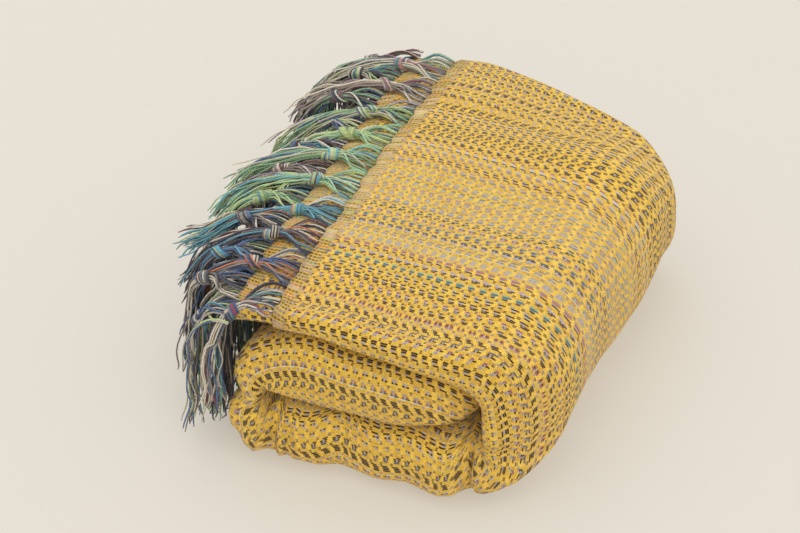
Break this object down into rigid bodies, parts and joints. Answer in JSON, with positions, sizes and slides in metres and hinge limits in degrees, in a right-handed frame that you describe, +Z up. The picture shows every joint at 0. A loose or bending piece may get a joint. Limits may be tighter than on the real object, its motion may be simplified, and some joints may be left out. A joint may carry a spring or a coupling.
{
  "type": "folded throw blanket",
  "caption": "Woven cotton throw blanket folded into a thick rectangular stack, with knotted tassel fringe along one long side.",
  "frame": {"origin": "middle of the underside of the whole part, fringe included", "axes": "+Z up; +Y along the folds, the long side of the stack; +X from the fringe side to the round fold"},
  "size_m": [0.289, 0.33, 0.1301],
  "materials": {
    "woven_cloth": "matt woven cotton, mustard weft over a multicolour warp",
    "fringe_blue": "matt twisted cotton yarns, mostly blue",
    "fringe_teal": "matt twisted cotton yarns, mostly teal",
    "fringe_taupe": "matt twisted cotton yarns, mostly taupe",
    "fringe_mint": "matt twisted cotton yarns, mostly mint",
    "fringe_navy": "matt twisted cotton yarns, mostly navy"
  },
  "bodies": {
    "root": {"bottom_run": "woven_cloth", "left_turn": "woven_cloth", "middle_run": "woven_cloth", "right_wrap": "woven_cloth"},
    "top_flap": {"lower_fringed_end": "woven_cloth", "upper_fringed_end": "woven_cloth", "lower_tassel_01": "fringe_teal", "lower_tassel_02": "fringe_navy", "lower_tassel_03": "fringe_taupe", "lower_tassel_04": "fringe_blue", "lower_tassel_05": "fringe_mint", "lower_tassel_06": "fringe_teal", "lower_tassel_07": "fringe_navy", "lower_tassel_08": "fringe_taupe", "lower_tassel_09": "fringe_blue", "lower_tassel_10": "fringe_mint", "under_tassel_a_01": "fringe_taupe", "under_tassel_a_02": "fringe_blue", "under_tassel_a_03": "fringe_mint", "under_tassel_a_04": "fringe_teal", "under_tassel_a_05": "fringe_navy", "under_tassel_a_06": "fringe_taupe", "under_tassel_a_07": "fringe_blue", "under_tassel_a_08": "fringe_mint", "under_tassel_a_09": "fringe_teal", "under_tassel_a_10": "fringe_navy", "under_tassel_b_01": "fringe_mint", "under_tassel_b_02": "fringe_teal", "under_tassel_b_03": "fringe_navy", "under_tassel_b_04": "fringe_taupe", "under_tassel_b_05": "fringe_blue", "under_tassel_b_06": "fringe_mint", "under_tassel_b_07": "fringe_teal", "under_tassel_b_08": "fringe_navy", "under_tassel_b_09": "fringe_taupe", "under_tassel_b_10": "fringe_blue"},
    "upper_tassel_01": {"upper_tassel_01": "fringe_blue"},
    "upper_tassel_02": {"upper_tassel_02": "fringe_mint"},
    "upper_tassel_03": {"upper_tassel_03": "fringe_teal"},
    "upper_tassel_04": {"upper_tassel_04": "fringe_navy"},
    "upper_tassel_05": {"upper_tassel_05": "fringe_taupe"},
    "upper_tassel_06": {"upper_tassel_06": "fringe_blue"},
    "upper_tassel_07": {"upper_tassel_07": "fringe_mint"},
    "upper_tassel_08": {"upper_tassel_08": "fringe_teal"},
    "upper_tassel_09": {"upper_tassel_09": "fringe_navy"},
    "upper_tassel_10": {"upper_tassel_10": "fringe_taupe"}
  },
  "joints": [
    {"name": "top_flap_lift", "type": "hinge", "parent": "root", "child": "top_flap", "pos_m": [0.09955, 0, 0.12829], "axis": [0, 1, 0], "range_deg": [0, 60]},
    {"name": "upper_tassel_01_lift", "type": "hinge", "parent": "top_flap", "child": "upper_tassel_01", "pos_m": [-0.03145, -0.15438, 0.1226], "axis": [0, 1, 0], "range_deg": [0, 40]},
    {"name": "upper_tassel_02_lift", "type": "hinge", "parent": "top_flap", "child": "upper_tassel_02", "pos_m": [-0.03145, -0.12187, 0.12371], "axis": [0, 1, 0], "range_deg": [0, 40]},
    {"name": "upper_tassel_03_lift", "type": "hinge", "parent": "top_flap", "child": "upper_tassel_03", "pos_m": [-0.03145, -0.08937, 0.12457], "axis": [0, 1, 0], "range_deg": [0, 40]},
    {"name": "upper_tassel_04_lift", "type": "hinge", "parent": "top_flap", "child": "upper_tassel_04", "pos_m": [-0.03145, -0.05688, 0.12516], "axis": [0, 1, 0], "range_deg": [0, 40]},
    {"name": "upper_tassel_05_lift", "type": "hinge", "parent": "top_flap", "child": "upper_tassel_05", "pos_m": [-0.03145, -0.02438, 0.12548], "axis": [0, 1, 0], "range_deg": [0, 40]},
    {"name": "upper_tassel_06_lift", "type": "hinge", "parent": "top_flap", "child": "upper_tassel_06", "pos_m": [-0.03145, 0.00813, 0.12555], "axis": [0, 1, 0], "range_deg": [0, 40]},
    {"name": "upper_tassel_07_lift", "type": "hinge", "parent": "top_flap", "child": "upper_tassel_07", "pos_m": [-0.03145, 0.04063, 0.12535], "axis": [0, 1, 0], "range_deg": [0, 40]},
    {"name": "upper_tassel_08_lift", "type": "hinge", "parent": "top_flap", "child": "upper_tassel_08", "pos_m": [-0.03145, 0.07312, 0.12489], "axis": [0, 1, 0], "range_deg": [0, 40]},
    {"name": "upper_tassel_09_lift", "type": "hinge", "parent": "top_flap", "child": "upper_tassel_09", "pos_m": [-0.03145, 0.10562, 0.12417], "axis": [0, 1, 0], "range_deg": [0, 40]},
    {"name": "upper_tassel_10_lift", "type": "hinge", "parent": "top_flap", "child": "upper_tassel_10", "pos_m": [-0.03145, 0.13812, 0.12319], "axis": [0, 1, 0], "range_deg": [0, 40]}
  ]
}
